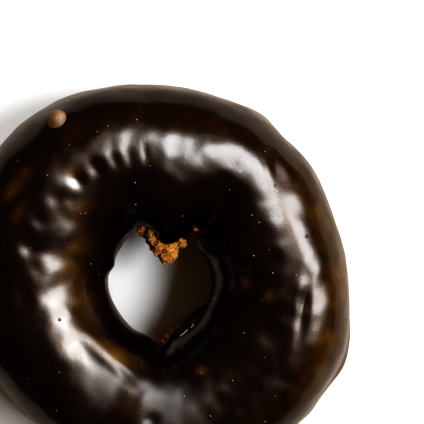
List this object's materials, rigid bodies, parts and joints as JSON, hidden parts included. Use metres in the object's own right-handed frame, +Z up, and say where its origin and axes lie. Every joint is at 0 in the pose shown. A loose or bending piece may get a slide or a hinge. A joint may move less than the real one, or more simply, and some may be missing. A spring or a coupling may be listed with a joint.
{
  "type": "ring doughnut",
  "caption": "Fried ring doughnut with a lumpy heart-shaped hole, dipped in glossy dark chocolate glaze that runs over its top, sides and into the hole.",
  "frame": {"origin": "centre of the doughnut's box, in the plane of the flat foot it rests on", "axes": "+Z up along the hole, +Y toward the lump of crumb that hangs into the hole, +X to the right seen from above"},
  "size_m": [0.0922, 0.0926, 0.0308],
  "materials": {
    "dough": "matt fried dough, golden brown, open golden crumb where the glaze stops short",
    "glaze": "glossy set chocolate glaze, very dark brown"
  },
  "bodies": {
    "root": {"dough_ring": "dough", "chocolate_glaze": "glaze"}
  },
  "joints": []
}
